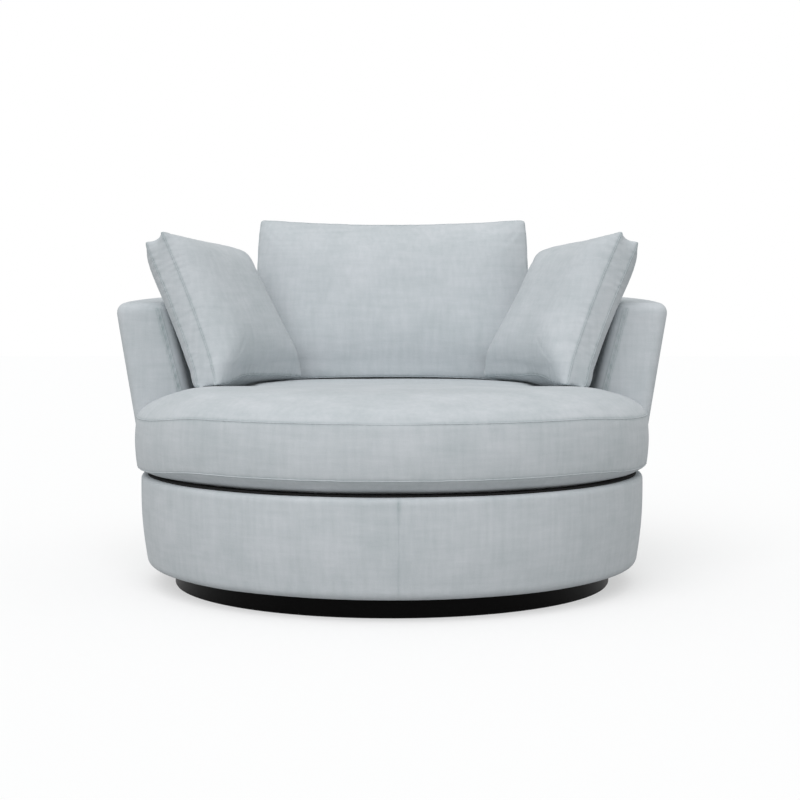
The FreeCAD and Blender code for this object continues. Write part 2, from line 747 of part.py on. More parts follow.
def boxed_form(width, height, border, crown, sag, inset):
    """A boxed cushion standing on its lower border: two domed panels and sides drawn in."""
    smaller = min(width, height) / 2
    dome = crown_steps(crown, size("dome_share") * smaller, int(size("dome_steps")))
    steps = [(-border / 2 - rise, run) for rise, run in reversed(dome)]
    steps += [(-border / 2, 0), (border / 2, 0)]
    steps += [(border / 2 + rise, run) for rise, run in dome]
    squeeze = (border + 2 * crown - 2 * inset) / (border + 2 * crown)
    wires = []
    for depth, run in steps:
        half = width / 2 - run - inset
        tall = height / 2 - run - inset
        pull = sag * (1 - run / smaller)
        at = depth * squeeze
        corners = [Vector(-half, at, -tall), Vector(half, at, -tall), Vector(half, at, tall),
                   Vector(-half, at, tall)]
        middles = [Vector(0, at, pull - tall), Vector(half - pull, at, 0),
                   Vector(0, at, tall - pull), Vector(pull - half, at, 0)]
        wires.append(Part.Wire([arc(corners[side], middles[side], corners[(side + 1) % 4])
                                for side in range(4)]))
    return Part.makeLoft(wires, True, True)


def bottom_zip(length, height):
    return Part.makeBox(length, zip_width, height, Vector(-length / 2, -zip_width / 2, -height))


def back_form(inset):
    return boxed_form(size("back_width"), size("back_height"), size("back_border"),
                      size("back_crown"), size("back_sag"), inset)


def pillow_form(inset):
    return boxed_form(size("pillow_side"), size("pillow_side"), size("pillow_border"),
                      size("pillow_crown"), size("pillow_sag"), inset)


def settled(shape, carrier, direction):
    """The shape moved along a direction until it all but touches what carries it."""
    moved = shape.copy()
    back_off = direction * -size("rest_gap")
    for step in range(int(size("settle_steps"))):
        gap = moved.distToShape(carrier)[0] - size("rest_gap")
        if gap < size("settle_limit"):
            break
        moved.translate(direction * gap)
    if moved.common(carrier).Volume > 0:
        while moved.common(carrier).Volume > 0:
            moved.translate(back_off)
        moved.translate(back_off)
    return moved


def set_down(shape, place, turn, lean_towards):
    """The placement of a cushion that stands on the seat cushion and leans on the tub."""
    standing = shape.copy()
    standing.Placement = Placement(place, turn)
    standing.translate(Vector(0, 0, seat_bottom + seat_height - standing.BoundBox.ZMin))
    for step in range(int(size("settle_rounds"))):
        standing = settled(standing, seat_outside, Vector(0, 0, -1))
        standing = settled(standing, tub_outside, lean_towards)
    short = size("rest_gap") - standing.distToShape(seat_outside)[0]
    standing.translate(Vector(0, 0, max(short, 0)))
    return standing.Placement


seat_outside = seat_form(0)
across_axis = Vector(1, 0, 0)
back_turn = Rotation(across_axis, -size("back_lean"))
back_place = set_down(back_form(0), Vector(0, size("back_offset"), 0), back_turn, Vector(0, 1, 0))
back_case = case_parts(back_form, bottom_zip(size("back_zip_length"), size("back_height")))
keep_cushion("back", back_case, back_place)
pillow_zip = bottom_zip(size("pillow_zip_length"), size("pillow_side"))
for side, side_name in ((-1, "left"), (1, "right")):
    heading = Rotation(axis, -side * size("pillow_turn"))
    turn = heading.multiply(Rotation(across_axis, -size("pillow_lean")))
    spot = Vector(side * size("pillow_out"), size("pillow_back"), 0)
    place = set_down(pillow_form(0), spot, turn, Vector(side, 0, 0))
    keep_cushion(f"{side_name}_pillow", case_parts(pillow_form, pillow_zip), place)
    print(side_name, "pillow at", place.Base)
print("back cushion at", back_place.Base)


# Every piece is whole and valid before anything is written.
doc.recompute()
for item in doc.Objects:
    if "Invalid" in item.State or "Error" in item.State:
        raise RuntimeError(f"{item.Label} was not made")
for name, piece in subparts.items():
    if piece.Shape.isNull() or not piece.Shape.isValid() or not piece.Shape.Solids:
        raise RuntimeError(f"{name} is not a valid solid")
    if piece.Shape.Volume <= 0:
        raise RuntimeError(f"{name} is inside out")
os.makedirs("parts", exist_ok=True)
for name, piece in subparts.items():
    piece.Shape.exportStep(os.path.join("parts", name + ".step"))
print(len(subparts), "pieces written")
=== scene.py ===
import json
import math

import bmesh
import bpy
import numpy as np
from mathutils import Matrix, Vector, noise
from mathutils.bvhtree import BVHTree
from mathutils.kdtree import KDTree

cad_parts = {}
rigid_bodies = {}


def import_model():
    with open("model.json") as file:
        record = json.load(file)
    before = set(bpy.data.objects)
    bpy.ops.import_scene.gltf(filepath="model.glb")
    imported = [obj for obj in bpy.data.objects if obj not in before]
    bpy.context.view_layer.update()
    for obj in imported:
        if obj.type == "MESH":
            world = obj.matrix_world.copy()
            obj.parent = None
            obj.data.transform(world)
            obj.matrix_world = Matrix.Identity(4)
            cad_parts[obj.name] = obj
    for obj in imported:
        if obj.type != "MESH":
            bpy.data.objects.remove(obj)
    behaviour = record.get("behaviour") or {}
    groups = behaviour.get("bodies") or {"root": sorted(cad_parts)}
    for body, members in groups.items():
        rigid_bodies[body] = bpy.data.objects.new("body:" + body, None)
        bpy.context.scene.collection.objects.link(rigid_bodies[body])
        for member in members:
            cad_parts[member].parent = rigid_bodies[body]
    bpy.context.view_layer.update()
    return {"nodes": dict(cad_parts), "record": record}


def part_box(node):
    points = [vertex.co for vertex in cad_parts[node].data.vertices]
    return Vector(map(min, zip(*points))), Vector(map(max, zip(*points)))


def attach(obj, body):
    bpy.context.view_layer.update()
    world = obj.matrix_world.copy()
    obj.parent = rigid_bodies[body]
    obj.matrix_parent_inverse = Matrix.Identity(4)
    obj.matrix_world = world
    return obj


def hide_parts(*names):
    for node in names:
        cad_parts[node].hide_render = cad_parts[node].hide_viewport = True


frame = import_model()
print("frame loaded:", len(frame["nodes"]), "nodes")

# Camera, set to the photograph's angle

camera = {"place": (0.0188, -3.688, 0.6263), "pitch": 86.86, "lens": 69.86, "sensor": 36}

cameraData = bpy.data.cameras.new("camera")
cameraData.lens = camera["lens"]
cameraData.sensor_width = camera["sensor"]
cameraObject = bpy.data.objects.new("camera", cameraData)
cameraObject.location = camera["place"]
cameraObject.rotation_euler = (math.radians(camera["pitch"]), 0, 0)
bpy.context.scene.collection.objects.link(cameraObject)
bpy.context.scene.camera = cameraObject
bpy.context.scene.view_settings.view_transform = "Standard"

# Shader sums written as Python


class Value:
    def __init__(self, material, socket):
        self.material = material
        self.socket = socket

    def sum(self, operation, first, second):
        return self.material.node("ShaderNodeMath", {"operation": operation}, {0: first, 1: second})

    def __add__(self, other):
        return self.sum("ADD", self, other)

    def __radd__(self, other):
        return self.sum("ADD", other, self)

    def __sub__(self, other):
        return self.sum("SUBTRACT", self, other)

    def __rsub__(self, other):
        return self.sum("SUBTRACT", other, self)

    def __mul__(self, other):
        return self.sum("MULTIPLY", self, other)

    def __rmul__(self, other):
        return self.sum("MULTIPLY", other, self)

    def __pow__(self, other):
        return self.sum("POWER", self, other)


class Finish:
    def __init__(self, name):
        self.material = bpy.data.materials.new(name)
        self.material.use_nodes = True
        self.tree = self.material.node_tree
        self.surface = next(n for n in self.tree.nodes if n.type == "BSDF_PRINCIPLED")

    def node(self, kind, settings=None, inputs=None, output=0):
        made = self.tree.nodes.new(kind)
        for key, setting in (settings or {}).items():
            setattr(made, key, setting)
        for key, value in (inputs or {}).items():
            self.feed(made.inputs[key], value)
        return Value(self, made.outputs[output])

    def feed(self, socket, value):
        if isinstance(value, Value):
            self.tree.links.new(value.socket, socket)
        else:
            socket.default_value = value

    def place(self):
        return self.node("ShaderNodeTexCoord", output="Object")

    def noise(self, scale, stretch=(1, 1, 1), detail=3, rough=0.55):
        spread = self.node("ShaderNodeMapping", {}, {"Vector": self.place(), "Scale": stretch})
        return self.node("ShaderNodeTexNoise", {}, {"Vector": spread, "Scale": scale, "Detail": detail,
                                                    "Roughness": rough})

    def mix(self, share, first, second):
        settings = {"data_type": "RGBA", "clamp_factor": False}
        return self.node("ShaderNodeMix", settings, {0: share, 6: first, 7: second}, output=2)

    def bump(self, height, depth, strength=1.0):
        return self.node("ShaderNodeBump", {}, {"Height": height, "Distance": depth, "Strength": strength})

    def set(self, **values):
        for key, value in values.items():
            self.feed(self.surface.inputs[key.replace("_", " ")], value)
        return self.material


def paint(red, green, blue):
    def linear(level):
        share = level / 255
        return share / 12.92 if share <= 0.04045 else ((share + 0.055) / 1.055) ** 2.4
    return (linear(red), linear(green), linear(blue), 1)


weaving = {"thread": 0.06, "slub": 0.12, "slubs": 90, "blotches": 9, "balance": 0.95}


def crossed(cloth, scale, slip, detail):
    # Threads that run level and threads that run upright, in equal shares
    return cloth.noise(scale, (1, 1, slip), detail) * 0.5 + cloth.noise(scale, (slip, slip, 1), detail) * 0.5


def clothFinish(name, pale, deep, sheen, threads=1400):
    cloth = Finish(name)
    weave = crossed(cloth, threads, weaving["thread"], 1)
    streak = crossed(cloth, weaving["slubs"], weaving["slub"], 3)
    blotch = cloth.noise(weaving["blotches"], detail=5, rough=0.62)
    shade = weave * 0.6 + blotch + streak * 1.3 - weaving["balance"]
    # Painted shade: the cloth is darkened close to each seam, in place of the shade that falls in its groove
    paintedSeamShade = cloth.node("ShaderNodeAttribute", {"attribute_name": "seamNear"}, output="Fac")
    shade = shade - paintedSeamShade ** 4 * 1.6
    cloth.surface.inputs["Sheen Weight"].default_value = sheen
    cloth.surface.inputs["Sheen Roughness"].default_value = 0.5
    cloth.surface.inputs["Specular IOR Level"].default_value = 0.12
    return cloth.set(Base_Color=cloth.mix(shade, deep, pale), Roughness=0.86 + streak * 0.1,
                     Normal=cloth.bump(weave * 0.8 + streak * 0.4, 0.0006, 0.6))


def woodFinish(name, pale, deep, rough, rings=22):
    wood = Finish(name)
    grain = wood.noise(rings, (1, 9, 9), 6, 0.62)
    pores = wood.noise(rings * 16, (0.15, 1, 1), 3)
    return wood.set(Base_Color=wood.mix(grain * 0.8 + pores * 0.4 - 0.1, deep, pale),
                    Roughness=rough + pores * 0.15, Normal=wood.bump(pores, 0.0003, 0.5))


def metalFinish(name, colour, rough):
    metal = Finish(name)
    brush = metal.noise(300, (0.1, 1, 1), 3)
    return metal.set(Base_Color=metal.mix(brush, colour, paint(206, 208, 212)), Metallic=1.0,
                     Roughness=rough + brush * 0.2, Normal=metal.bump(brush, 0.0001, 0.3))


def lacquerFinish(name):
    lacquer = Finish(name)
    orange = lacquer.noise(90, detail=2)
    dust = lacquer.noise(14, detail=5)
    lacquer.surface.inputs["Specular IOR Level"].default_value = 0.05
    return lacquer.set(Base_Color=lacquer.mix(dust, paint(1, 1, 1), paint(6, 5, 5)),
                       Roughness=0.3 + dust * 0.16, Normal=lacquer.bump(orange, 0.0004, 0.25))


def plasticFinish(name, colour, shadow):
    plastic = Finish(name)
    grain = plastic.noise(240, detail=2)
    return plastic.set(Base_Color=plastic.mix(grain, shadow, colour), Roughness=0.4 + grain * 0.15,
                       Normal=plastic.bump(grain, 0.0001, 0.3))


finishes = {
    "cloth": clothFinish("pale_cloth", paint(206, 210, 214), paint(180, 188, 191), 0.12),
    "filling": clothFinish("fibre_filling", paint(242, 240, 232), paint(222, 219, 208), 0.1, 300),
    "zip": clothFinish("zip_tape", paint(176, 186, 188), paint(156, 166, 168), 0.1),
    "black_lacquer": lacquerFinish("black_lacquer"),
    "plywood": woodFinish("plywood", paint(214, 186, 143), paint(176, 142, 98), 0.6),
    "hardwood": woodFinish("hardwood", paint(198, 158, 112), paint(150, 108, 68), 0.55, 30),
    "hardboard": woodFinish("hardboard", paint(132, 98, 68), paint(102, 72, 48), 0.5, 60),
    "steel": metalFinish("zinc_steel", paint(168, 171, 176), 0.28),
    "cage_plastic": plasticFinish("cage_plastic", paint(226, 226, 218), paint(206, 206, 196)),
    "felt": clothFinish("black_felt", paint(44, 43, 43), paint(26, 25, 26), 0.1, 500),
    # Black platform cloth: a real dark deck cloth, whose edge showing between the drum and the seat cushion
    # is also painted shadow for the dark gap there
    "platform_cloth": clothFinish("platform_cloth", paint(30, 30, 32), paint(16, 16, 18), 0.05),
    "pad_felt": clothFinish("grey_felt", paint(150, 146, 140), paint(118, 114, 108), 0.1, 400),
}
slotOf = {part["node"]: part["material_slot"] for part in frame["record"]["subparts"]}
for node, piece in frame["nodes"].items():
    piece.data.materials.clear()
    piece.data.materials.append(finishes[slotOf[node]])
print("finishes made")

# Tools that every soft piece shares


def pick(piece):
    bpy.ops.object.select_all(action="DESELECT")
    piece.select_set(True)
    bpy.context.view_layer.objects.active = piece


def applied(piece, kind, **settings):
    pick(piece)
    modifier = piece.modifiers.new(kind.lower(), kind)
    for key, setting in settings.items():
        setattr(modifier, key, setting)
    bpy.ops.object.modifier_apply(modifier=modifier.name)


def copyOf(node, name):
    piece = bpy.data.objects.new(name, frame["nodes"][node].data.copy())
    bpy.context.scene.collection.objects.link(piece)
    pick(piece)
    bpy.ops.object.mode_set(mode="EDIT")
    bpy.ops.mesh.select_all(action="SELECT")
    bpy.ops.mesh.remove_doubles(threshold=0.00005)
    bpy.ops.object.mode_set(mode="OBJECT")
    return piece


def pointsOf(piece):
    points = np.empty(len(piece.data.vertices) * 3, np.float32)
    piece.data.vertices.foreach_get("co", points)
    return points.reshape(-1, 3).astype(float)


def setPoints(piece, points):
    piece.data.vertices.foreach_set("co", points.astype(np.float32).ravel())
    piece.data.update()


def normalsOf(piece):
    normals = np.empty(len(piece.data.vertices) * 3, np.float32)
    piece.data.vertex_normals.foreach_get("vector", normals)
    return normals.reshape(-1, 3).astype(float)


def evenly(points, step, closed):
    ring = [*points, points[0]] if closed else list(points)
    made = []
    for start, end in zip(ring, ring[1:]):
        count = max(1, round((end - start).length / step))
        made += [start.lerp(end, number / count) for number in range(count)]
    return made if closed else [*made, ring[-1]]


def eased(points, rounds, closed):
    for _ in range(rounds):
        before = points[-1:] + points[:-1]
        after = points[1:] + points[:1]
        middle = [(a + b + p * 2) / 4 for a, p, b in zip(before, points, after)]
        points = middle if closed else [points[0], *middle[1:-1], points[-1]]
    return points


def surfaceOf(piece):
    tree = bmesh.new()
    tree.from_mesh(piece.data)
    surface = BVHTree.FromBMesh(tree)
    tree.free()
    return surface


def nearestOn(samples, piece):
    tree = KDTree(len(samples))
    for number, point in enumerate(samples):
        tree.insert(point, number)
    tree.balance()
    return [tree.find(Vector(point)) for point in pointsOf(piece)]


def markSeams(piece, lines):
    # How near a point lies to a seam, from 0 at the reach to 1 on it, for the cloth to carry painted shade
    # there in place of the shade in the seam's groove
    samples = [point for line in lines for point in evenly(line, seam["step"] / 2, False)]
    found = nearestOn(samples, piece)
    gaps = np.array([place[2] for place in found])
    runs = np.array([place[1] for place in found])
    layer = piece.data.attributes.new("seamNear", "FLOAT", "POINT")
    layer.data.foreach_set("value", np.clip(1 - gaps / seam["reach"], 0, 1).astype(np.float32))
    return gaps, runs


# A seam is a folded edge of cloth: a thin round lip that lies along the padded surface
seam = {"lip": 0.0011, "thinLip": 0.0005, "step": 0.006, "rise": 0.0001, "sides": 3, "reach": 0.012}


def seamLip(name, piece, path, closed, body, thickness=seam["lip"]):
    surface = surfaceOf(piece)
    line = eased(evenly(path, seam["step"], closed), 3, closed)
    laid = []
    for point in line:
        place, normal, _, _ = surface.find_nearest(point)
        laid.append(place + normal * seam["rise"])
    laid = eased(laid, 2, closed)
    curve = bpy.data.curves.new(name, "CURVE")
    curve.dimensions = "3D"
    curve.bevel_depth = thickness
    curve.bevel_resolution = seam["sides"]
    curve.use_fill_caps = True
    spline = curve.splines.new("POLY")
    spline.points.add(len(laid) - 1)
    for number, point in enumerate(laid):
        spline.points[number].co = (*point, 1)
    spline.use_cyclic_u = closed
    lip = bpy.data.objects.new(name, curve)
    bpy.context.scene.collection.objects.link(lip)
    pick(lip)
    bpy.ops.object.convert(target="MESH")
    bpy.ops.object.shade_smooth()
    lip.data.materials.clear()
    lip.data.materials.append(finishes["cloth"])
    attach(lip, body)


# Skins: a solid is remeshed, smoothed and laid back out on the covers that it fills

skin = {"reach": 0.012, "smoothing": 3, "gap": 0.0005, "guard": 0.02}


def coverForm(nodes):
    tree = bmesh.new()
    for node in nodes:
        tree.from_mesh(frame["nodes"][node].data)
    form = BVHTree.FromBMesh(tree)
    tree.free()
    return form


def outermostOnly(piece):
    corners = pointsOf(piece)
    pick(piece)
    bpy.ops.object.mode_set(mode="EDIT")
    bpy.ops.mesh.select_mode(type="VERT")
    bpy.ops.mesh.select_all(action="DESELECT")
    bpy.ops.object.mode_set(mode="OBJECT")
    piece.data.vertices[int(corners[:, 0].argmax())].select = True
    bpy.ops.object.mode_set(mode="EDIT")
    bpy.ops.mesh.select_linked()
    bpy.ops.mesh.select_all(action="INVERT")
    bpy.ops.mesh.delete(type="VERT")
    bpy.ops.object.mode_set(mode="OBJECT")


def laidOn(piece, form):
    points = pointsOf(piece)
    for number, (point, normal) in enumerate(zip(points, normalsOf(piece))):
        outward = Vector(normal)
        hit = form.ray_cast(Vector(point) + outward * skin["reach"], -outward, 2 * skin["reach"])[0]
        if hit is not None:
            points[number] = hit
    setPoints(piece, points)


def skinOf(name, solid, covers, voxel):
    piece = copyOf(solid, name)
    applied(piece, "REMESH", mode="VOXEL", voxel_size=voxel)
    outermostOnly(piece)
    applied(piece, "SMOOTH", factor=0.5, iterations=skin["smoothing"])
    laidOn(piece, coverForm(covers))
    applied(piece, "SMOOTH", factor=0.5, iterations=1)
    return piece


def keptClear(piece, neighbours):
    surfaces = [surfaceOf(neighbour) for neighbour in neighbours]
    points = pointsOf(piece)
    for number, point in enumerate(points):
        place = Vector(point)
        for surface in surfaces:
            found, normal, _, _ = surface.find_nearest(place, skin["guard"])
            if found is not None:
                place += normal * max(skin["gap"] - (place - found).dot(normal), 0)
        points[number] = place
    setPoints(piece, points)


def sunk(points, surface, reach):
    # A soft underside sinks towards what carries it, most where it is nearest
    lowered = np.array(points, float)
    for point in lowered:
        hit = surface.ray_cast(Vector(point), Vector((0, 0, -1)), reach)
        if hit[0] is not None:
            point[2] -= hit[3] - max(hit[3] ** 3 / reach ** 2, min(skin["gap"], hit[3]))
    return lowered


def asPath(points):
    return [Vector(point) for point in points]


def dressed(piece, body):
    pick(piece)
    bpy.ops.object.shade_smooth()
    piece.data.materials.clear()
    piece.data.materials.append(finishes["cloth"])
    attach(piece, body)


# Stuffed cushions swell under pressure between their seams, which hold, and pucker along them

stuffing = {"pressure": 4, "frames": 20, "quality": 3, "pinWidth": 0.007, "puckerReach": 0.016,
            "bumps": 6.5, "waves": 0.42, "drawnIn": 0.35, "waveShare": 0.9, "nearness": 0.0002}


def groupedBySeams(pad, paths):
    samples = [point for path in paths for point in evenly(path, seam["step"], True)]
    held = pad.vertex_groups.new(name="held")
    free = pad.vertex_groups.new(name="free")
    for number, (_, _, gap) in enumerate(nearestOn(samples, pad)):
        group = held if gap < stuffing["pinWidth"] else free
        group.add([number], 1.0, "REPLACE")


def swollen(pad, paths, cap, easing):
    groupedBySeams(pad, paths)
    applied(pad, "SMOOTH", factor=0.5, iterations=easing, vertex_group="free")
    start = pointsOf(pad)
    pick(pad)
    cloth = pad.modifiers.new("cloth", "CLOTH")
    cloth.settings.quality = stuffing["quality"]
    cloth.settings.use_pressure = True
    cloth.settings.uniform_pressure_force = stuffing["pressure"]
    cloth.settings.effector_weights.gravity = 0
    cloth.settings.vertex_group_mass = "held"
    for number in range(1, stuffing["frames"] + 1):
        bpy.context.scene.frame_set(number)
    bpy.ops.object.modifier_apply(modifier="cloth")
    move = pointsOf(pad) - start
    length = np.linalg.norm(move, axis=1, keepdims=True)
    setPoints(pad, start + move * np.minimum(1, cap / np.maximum(length, 1e-9)))
    pad.vertex_groups.clear()


def puckered(pad, paths, pucker):
    gaps, runs = markSeams(pad, [[*path, path[0]] for path in paths])
    waves = np.array([noise.noise(Vector((run * stuffing["waves"], 0.3, 0.7))) for run in runs])
    points = pointsOf(pad)
    fall = np.exp(-gaps / stuffing["puckerReach"])
    bumps = np.array([noise.noise(Vector(point) * stuffing["bumps"]) for point in points])
    lift = pucker * (bumps * (1 - fall) - fall * (stuffing["drawnIn"] + stuffing["waveShare"] * waves))
    setPoints(pad, points + normalsOf(pad) * lift[:, None])


def ordered(points, centre, across, along):
    def angle(point):
        return math.atan2((point - centre).dot(along), (point - centre).dot(across))
    return sorted(points, key=angle)


def levelPath(node, height, pivot):
    corners = frame["nodes"][node].data.vertices
    found = [v.co.copy() for v in corners if abs(v.co.z - height) < stuffing["nearness"]]
    unique = {(round(p.x, 4), round(p.y, 4)): p for p in found}
    return ordered(unique.values(), pivot, Vector((1, 0, 0)), Vector((0, 1, 0)))


def ownFrame(node, turn):
    # A boxed cushion's own axes, across, through and up, and its middle along them
    axes = np.array(turn)
    local = pointsOf(frame["nodes"][node]) @ axes
    return axes, (local.min(axis=0) + local.max(axis=0)) / 2


def boxedPath(node, turn, depth):
    axes, middle = ownFrame(node, turn)
    local = pointsOf(frame["nodes"][node]) @ axes - middle
    found = [Vector(point) for point in local if abs(point[1] - depth) < stuffing["nearness"]]
    unique = {(round(p.x, 4), round(p.z, 4)): p for p in found}
    path = ordered(unique.values(), Vector(), Vector((1, 0, 0)), Vector((0, 0, 1)))
    return [Vector((np.array(point) + middle) @ axes.T) for point in path]


def reshaped(points, axes, middle, change):
    return (change(np.array(points, float) @ axes - middle) + middle) @ axes.T


# Drum: a profile is spun and rounded, then remeshed and padded out


def spun(name, profile, steps):
    bpy.ops.object.select_all(action="DESELECT")
    bpy.ops.mesh.primitive_plane_add(size=1)
    piece = bpy.context.active_object
    piece.name = name
    for vertex, number in zip(piece.data.vertices, (0, 1, 3, 2)):
        radius, height = profile[number]
        vertex.co = (radius, 0, height)
    bpy.ops.object.mode_set(mode="EDIT")
    bpy.ops.mesh.select_all(action="SELECT")
    bpy.ops.mesh.spin(steps=steps, angle=math.radians(360), center=(0, 0, 0), axis=(0, 0, 1))
    bpy.ops.mesh.select_all(action="SELECT")
    bpy.ops.mesh.remove_doubles(threshold=0.0001)
    bpy.ops.mesh.normals_make_consistent(inside=False)
    bpy.ops.object.mode_set(mode="OBJECT")
    return piece


drum = {"bottomRadius": 0.575, "topRadius": 0.590, "innerRadius": 0.510, "steps": 160, "roundSteps": 5,
        "lowRound": 0.018, "highRound": 0.010, "voxel": 0.006, "bulge": 0.006, "softness": 0.0010,
        "reach": 5, "roundShare": 0.9, "seams": (-88.4, 31.6, 151.6)}

drumLow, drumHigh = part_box("drum_cover")
drumSkin = spun("drum_upholstery", [(drum["innerRadius"], drumLow.z), (drum["bottomRadius"], drumLow.z),
                                    (drum["topRadius"], drumHigh.z), (drum["innerRadius"], drumHigh.z)],
                drum["steps"])
for height, radius in ((drumLow.z, drum["lowRound"]), (drumHigh.z, drum["highRound"])):
    pick(drumSkin)
    bpy.ops.object.mode_set(mode="EDIT")
    bpy.ops.mesh.select_mode(type="EDGE")
    bpy.ops.mesh.select_all(action="DESELECT")
    bpy.ops.object.mode_set(mode="OBJECT")
    corners = drumSkin.data.vertices
    for edge in drumSkin.data.edges:
        ends = [corners[number].co for number in edge.vertices]
        outer = all(math.hypot(end.x, end.y) > drum["innerRadius"] + drum["lowRound"] for end in ends)
        edge.select = outer and all(abs(end.z - height) < 0.0005 for end in ends)
    bpy.ops.object.mode_set(mode="EDIT")
    bpy.ops.mesh.bevel(offset=radius * drum["roundShare"], segments=drum["roundSteps"], affect="EDGES")
    bpy.ops.object.mode_set(mode="OBJECT")
drumForm = surfaceOf(drumSkin)
applied(drumSkin, "REMESH", mode="VOXEL", voxel_size=drum["voxel"])
applied(drumSkin, "SMOOTH", factor=0.5, iterations=2)
drumPoints = np.array([drumForm.find_nearest(Vector(point))[0] for point in pointsOf(drumSkin)])
climb = (drumPoints[:, 2] - drumLow.z) / (drumHigh.z - drumLow.z)
ripple = np.array([noise.noise(Vector(point) * drum["reach"]) for point in drumPoints])
proud = np.hypot(drumPoints[:, 0], drumPoints[:, 1]) > (drum["innerRadius"] + drum["bottomRadius"]) / 2
drumLift = drum["bulge"] * np.sin(math.pi * np.clip(climb, 0, 1)) + drum["softness"] * ripple
setPoints(drumSkin, drumPoints)
setPoints(drumSkin, drumPoints + normalsOf(drumSkin) * (drumLift * proud)[:, None])
drumSeams = []
for angle in drum["seams"]:
    outward = Vector((math.cos(math.radians(angle)), math.sin(math.radians(angle)), 0))
    drumSeams.append([outward * (drum["bottomRadius"] - drum["lowRound"]) + Vector((0, 0, drumLow.z)),
                      outward * drum["bottomRadius"] + Vector((0, 0, drumLow.z + drum["lowRound"])),
                      outward * drum["topRadius"] + Vector((0, 0, drumHigh.z - drum["highRound"])),
                      outward * (drum["topRadius"] - drum["highRound"]) + Vector((0, 0, drumHigh.z))])
markSeams(drumSkin, drumSeams)
dressed(drumSkin, "carcase")
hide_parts("drum_cover", "drum_padding")
for number, path in enumerate(drumSeams):
    seamLip(f"drum_seam_{number}", drumSkin, path, False, "carcase", seam["thinLip"])
print("drum made", len(drumSkin.data.polygons), "faces")

# Tub: arms and back in one wall

tub = {"base": 0.260, "inner": 0.430, "innerLean": 14.3, "outer": 0.593, "outerLean": 8.9,
       "front": -0.030, "frontHeight": 0.654, "rise": 3.5, "voxel": 0.0058, "softness": 0.0012, "reach": 4,
       "seamInsets": (0.020, 0.028), "seamTop": 0.640, "seamFoot": 0.290, "armLip": 0.0009, "backSeam": 90,
       "backSeamFoot": 0.004, "backSeamDrop": 0.020, "backLip": 0.0007}

tubCovers = ["tub_outer_cover", "tub_inner_cover", "arm_front_cover_left", "arm_front_cover_right"]
tubSkin = skinOf("tub_upholstery", "tub_padding", tubCovers, tub["voxel"])
tubPoints = pointsOf(tubSkin)
tubRipple = np.array([noise.noise(Vector(point) * tub["reach"]) for point in tubPoints])
setPoints(tubSkin, tubPoints + normalsOf(tubSkin) * (tub["softness"] * tubRipple)[:, None])


def wallAt(radius, lean, height, angle):
    reach = radius + math.tan(math.radians(lean)) * (height - tub["base"])
    return Vector((reach * math.cos(math.radians(angle)), reach * math.sin(math.radians(angle)), height))


armSeams = []
for side in (-1, 1):
    for inset in tub["seamInsets"]:
        line = []
        for height in (tub["seamTop"], (tub["seamTop"] + tub["base"]) / 2, tub["seamFoot"]):
            reach = wallAt(tub["inner"] + inset, tub["innerLean"], height, 0).x
            line.append(Vector((side * math.sqrt(reach ** 2 - tub["front"] ** 2), tub["front"], height)))
        armSeams.append(line)
backTop = tub["frontHeight"] + tub["outer"] * math.tan(math.radians(tub["rise"]))
backSeam = [wallAt(tub["outer"], tub["outerLean"], height, tub["backSeam"])
            for height in (tub["base"] + tub["backSeamFoot"], backTop - tub["backSeamDrop"])]
markSeams(tubSkin, [*armSeams, backSeam])
dressed(tubSkin, "carcase")
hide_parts("tub_padding", *tubCovers)
for number, path in enumerate(armSeams):
    seamLip(f"arm_seam_{number}", tubSkin, path, False, "carcase", tub["armLip"])
seamLip("tub_back_seam", tubSkin, backSeam, False, "carcase", tub["backLip"])
print("tub made", len(tubSkin.data.polygons), "faces")

# Seat cushion: its two ends sink a little onto the deck

seat = {"lowerSeam": 0.032, "border": 0.116, "pivot": (0, -0.2, 0), "voxel": 0.0105, "cap": 0.003,
        "pucker": 0.0011, "fill": 0.8, "easing": 4, "droop": {-1: 0.017, 1: 0.011}, "droopFrom": 0.40,
        "droopOver": 0.18, "join": 0.0185, "joinStart": 0.001, "joinReach": 0.046,
        "joinFoot": 0.002}

seatLow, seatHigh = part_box("seat_cover")
seatPivot = Vector(seat["pivot"])


def drooped(points):
    share = np.clip((np.abs(points[:, 0]) - seat["droopFrom"]) / seat["droopOver"], 0, 1)
    share = share * share * (3 - 2 * share)
    drop = np.where(points[:, 0] < 0, seat["droop"][-1], seat["droop"][1]) * share
    height = np.clip((points[:, 2] - seatLow.z) / seat["lowerSeam"], 0, 1)
    lowered = points.copy()
    lowered[:, 2] -= drop * height
    return lowered


seatSeams = [levelPath("seat_cover", seatLow.z + height, seatPivot)
             for height in (seat["lowerSeam"], seat["lowerSeam"] + seat["border"])]
seatCushion = skinOf("seat_cushion_cover", "seat_filling", ["seat_cover"], seat["voxel"])
swollen(seatCushion, seatSeams, seat["cap"], seat["easing"])
setPoints(seatCushion, drooped(pointsOf(seatCushion)))
keptClear(seatCushion, [drumSkin, tubSkin])
applied(seatCushion, "SUBSURF", levels=1, render_levels=1)
seatSeams = [asPath(drooped(np.array(path, float))) for path in seatSeams]
puckered(seatCushion, seatSeams, seat["pucker"])
dressed(seatCushion, "seat_cushion")
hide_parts("seat_cover", "seat_filling", "seat_zip")
for label, path in zip(("lower", "upper"), seatSeams):
    seamLip(f"seat_{label}_seam", seatCushion, path, True, "seat_cushion")
joinTop = Vector((seat["join"], seatLow.y + seat["joinStart"], seatLow.z + seat["lowerSeam"]))
joinFoot = Vector((seat["join"], seatLow.y + seat["joinReach"], seatLow.z + seat["joinFoot"]))
seamLip("seat_underside_join", seatCushion, [joinTop, joinFoot], False, "seat_cushion", seam["thinLip"])
print("seat cushion made", len(seatCushion.data.polygons), "faces")

# Boxed cushions lean on the tub and sink a little into the seat

seatTop = surfaceOf(seatCushion)


